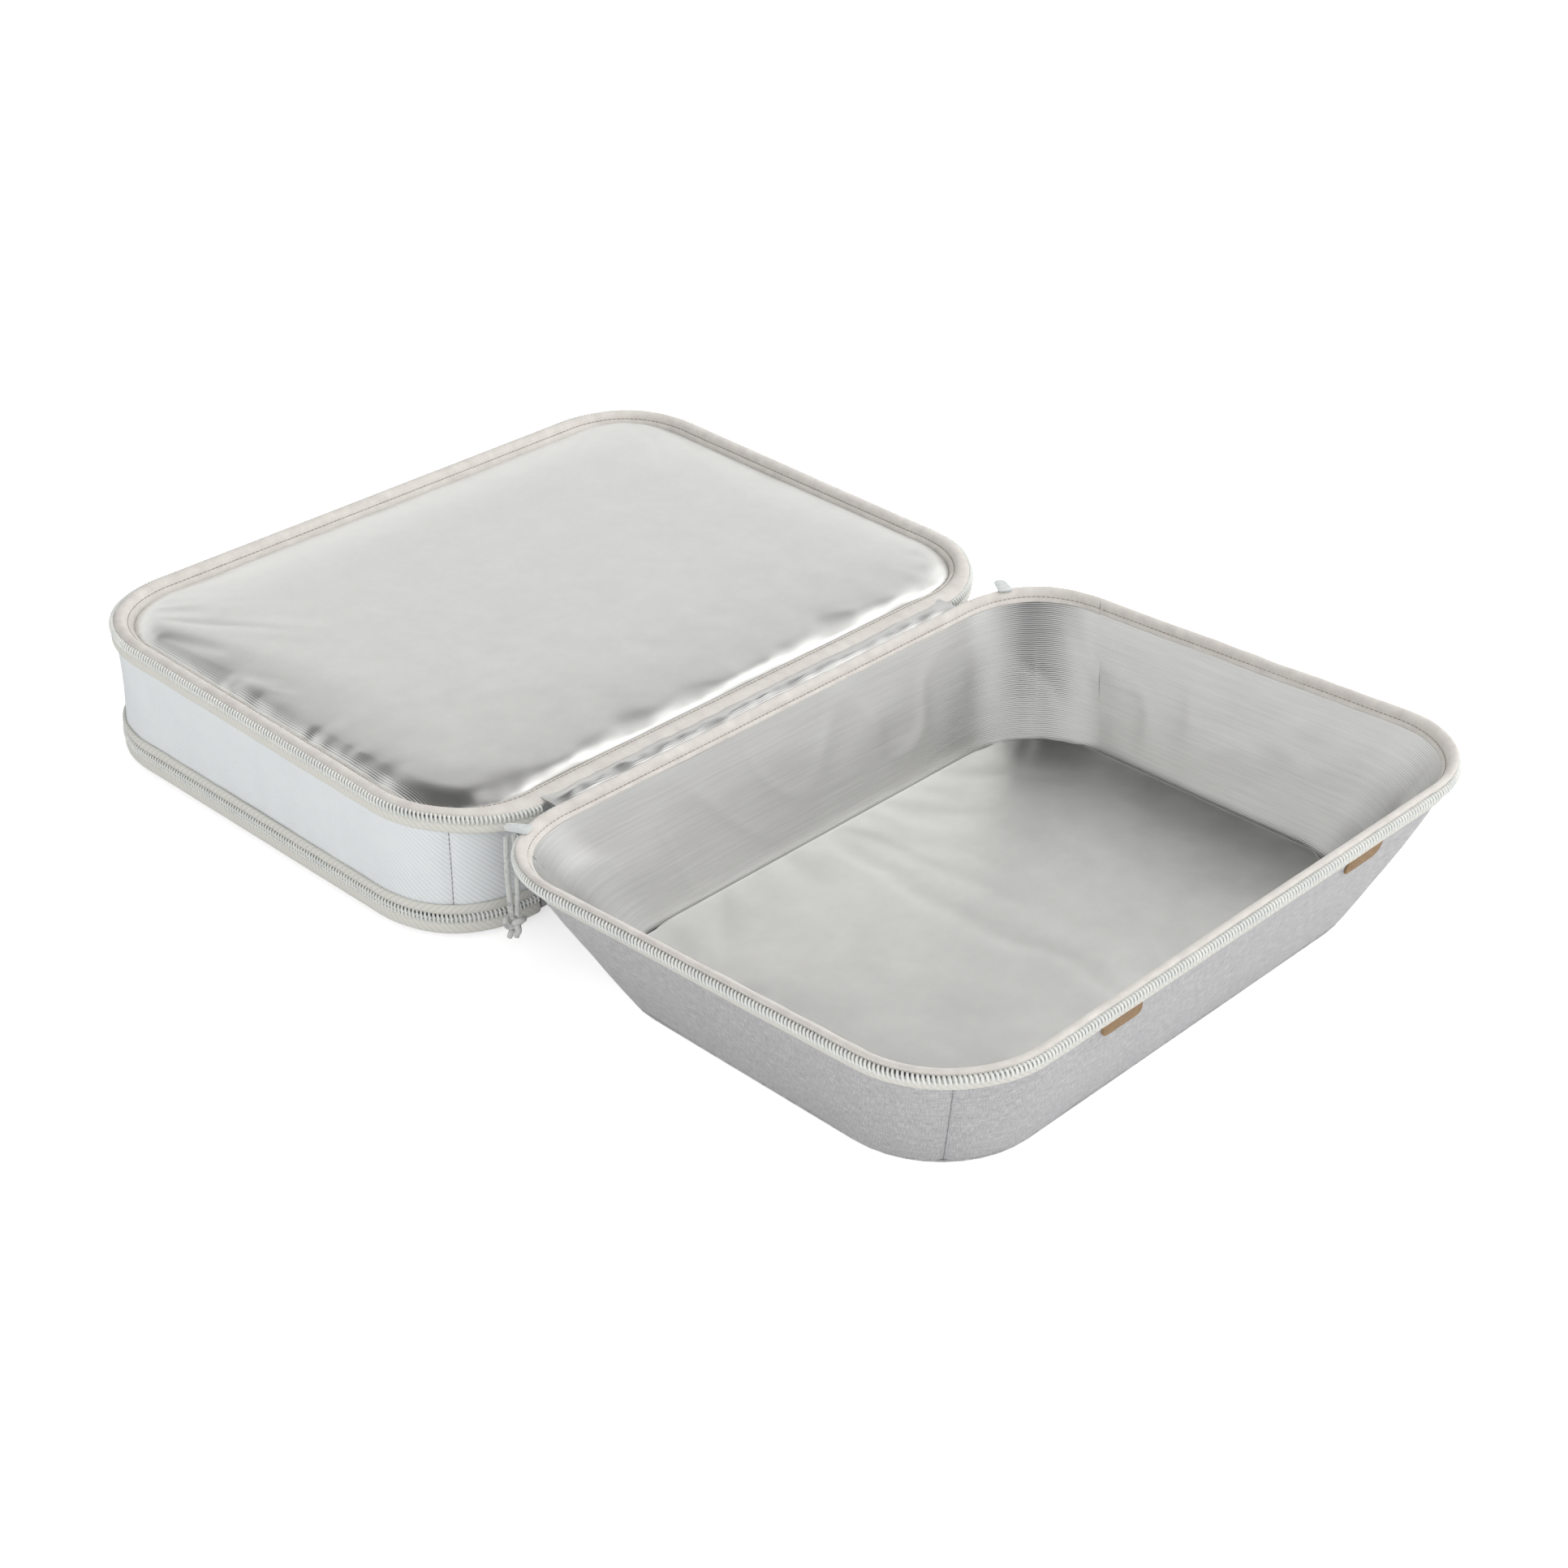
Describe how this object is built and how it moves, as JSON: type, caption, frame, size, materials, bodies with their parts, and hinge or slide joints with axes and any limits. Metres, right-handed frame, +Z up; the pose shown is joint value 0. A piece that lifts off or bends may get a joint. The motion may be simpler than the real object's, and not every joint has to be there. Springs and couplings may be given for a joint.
{
  "type": "casserole carrier",
  "caption": "Insulated casserole carrier, open: a flared foil-lined tub hinged to a zipped upper compartment with a padded foil divider and a handled lid.",
  "frame": {"origin": "middle of the tub's flat underside", "axes": "+X along the hinge, -Y towards the tub's front, +Y towards the opened upper compartment, +Z up"},
  "size_m": [0.434, 0.6813, 0.0909],
  "materials": {
    "heather_fabric": "heather-grey woven polyester",
    "gusset_twill": "pale blue-grey polyester twill",
    "binding": "off-white woven binding, stitched",
    "zipper_tape": "off-white woven zipper tape",
    "zipper_coil": "nylon coil",
    "foil_lining": "metallised film on a fine woven backing",
    "foam": "expanded polyethylene foam",
    "base_board": "polyethylene board",
    "tan_leather": "tan leather-look sheet",
    "webbing": "woven webbing",
    "pull_cord": "braided cord",
    "slider_metal": "painted die-cast slider"
  },
  "bodies": {
    "tub": {"tub_base_panel": "heather_fabric", "tub_base_board": "base_board", "tub_base_foam": "foam", "tub_floor_lining": "foil_lining", "tub_wall_front": "heather_fabric", "tub_wall_back": "heather_fabric", "tub_wall_left": "heather_fabric", "tub_wall_right": "heather_fabric", "tub_foam_front": "foam", "tub_foam_back": "foam", "tub_foam_left": "foam", "tub_foam_right": "foam", "tub_wall_lining": "foil_lining", "tub_rim_binding": "binding", "tub_zip_tape": "zipper_tape", "tub_zip_coil": "zipper_coil", "tub_hinge_strip": "foil_lining", "tab_left": "tan_leather", "tab_right": "tan_leather"},
    "left_slider": {"main_slider_left": "slider_metal"},
    "right_slider": {"main_slider_right": "slider_metal"},
    "cord_pull": {"pull_left_strand_a": "pull_cord", "pull_left_strand_b": "pull_cord", "pull_left_knot": "pull_cord"},
    "cover": {"gusset_wall_front": "gusset_twill", "gusset_wall_back": "gusset_twill", "gusset_wall_left": "gusset_twill", "gusset_wall_right": "gusset_twill", "gusset_foam_front": "foam", "gusset_foam_back": "foam", "gusset_foam_left": "foam", "gusset_foam_right": "foam", "gusset_lining": "foil_lining", "divider_face": "foil_lining", "divider_foam": "foam", "divider_back": "foil_lining", "cover_rim_binding": "binding", "cover_zip_tape": "zipper_tape", "cover_zip_coil": "zipper_coil", "gusset_lid_zip_tape": "zipper_tape", "gusset_lid_zip_coil": "zipper_coil", "cover_hinge_strip": "foil_lining", "gusset_hinge_strip": "gusset_twill"},
    "lid": {"lid_panel": "heather_fabric", "lid_foam": "foam", "lid_lining": "foil_lining", "lid_zip_tape": "zipper_tape", "lid_zip_coil": "zipper_coil", "lid_hinge_strip": "heather_fabric", "handle_patch_front_a": "tan_leather", "handle_patch_front_b": "tan_leather", "handle_patch_back_a": "tan_leather", "handle_patch_back_b": "tan_leather"},
    "front_handle": {"handle_front": "webbing"},
    "back_handle": {"handle_back": "webbing"},
    "left_lid_slider": {"lid_slider_left": "slider_metal"},
    "right_lid_slider": {"lid_slider_right": "slider_metal"},
    "left_puller": {"lid_puller_left": "slider_metal"},
    "right_puller": {"lid_puller_right": "slider_metal"}
  },
  "joints": [
    {"name": "cover_hinge", "type": "hinge", "parent": "tub", "child": "cover", "pos_m": [0, 0.172, 0.07661], "axis": [1, 0, 0], "range_deg": [0, 176.1]},
    {"name": "lid_hinge", "type": "hinge", "parent": "cover", "child": "lid", "pos_m": [0, 0.1787, 0.01145], "axis": [-1, 0, 0], "range_deg": [0, 120]},
    {"name": "front_handle_fold", "type": "hinge", "parent": "lid", "child": "front_handle", "pos_m": [0, 0.44, 0.001], "axis": [1, 0, 0], "range_deg": [0, 100]},
    {"name": "back_handle_fold", "type": "hinge", "parent": "lid", "child": "back_handle", "pos_m": [0, 0.248, 0.001], "axis": [-1, 0, 0], "range_deg": [0, 100]},
    {"name": "left_slider_run", "type": "hinge", "parent": "tub", "child": "left_slider", "pos_m": [-0.155, 0.103, 0.07958], "axis": [0, 0.0429, 0.9991], "range_deg": [0, 60]},
    {"name": "right_slider_run", "type": "hinge", "parent": "tub", "child": "right_slider", "pos_m": [0.155, 0.103, 0.07958], "axis": [0, -0.0429, -0.9991], "range_deg": [0, 60]},
    {"name": "cord_pull_swing", "type": "hinge", "parent": "left_slider", "child": "cord_pull", "pos_m": [-0.18835, 0.16076, 0.07154], "axis": [0.866, 0.5, 0], "range_deg": [0, 90]},
    {"name": "left_lid_slider_run", "type": "slide", "parent": "cover", "child": "left_lid_slider", "axis": [-1, 0, 0], "range_m": [0, 0.13]},
    {"name": "right_lid_slider_run", "type": "slide", "parent": "cover", "child": "right_lid_slider", "axis": [1, 0, 0], "range_m": [0, 0.13]},
    {"name": "left_puller_flip", "type": "hinge", "parent": "left_lid_slider", "child": "left_puller", "pos_m": [-0.012, 0.5137, 0.01145], "axis": [0, 0, -1], "range_deg": [0, 120]},
    {"name": "right_puller_flip", "type": "hinge", "parent": "right_lid_slider", "child": "right_puller", "pos_m": [0.012, 0.5137, 0.01145], "axis": [0, 0, 1], "range_deg": [0, 120]}
  ]
}
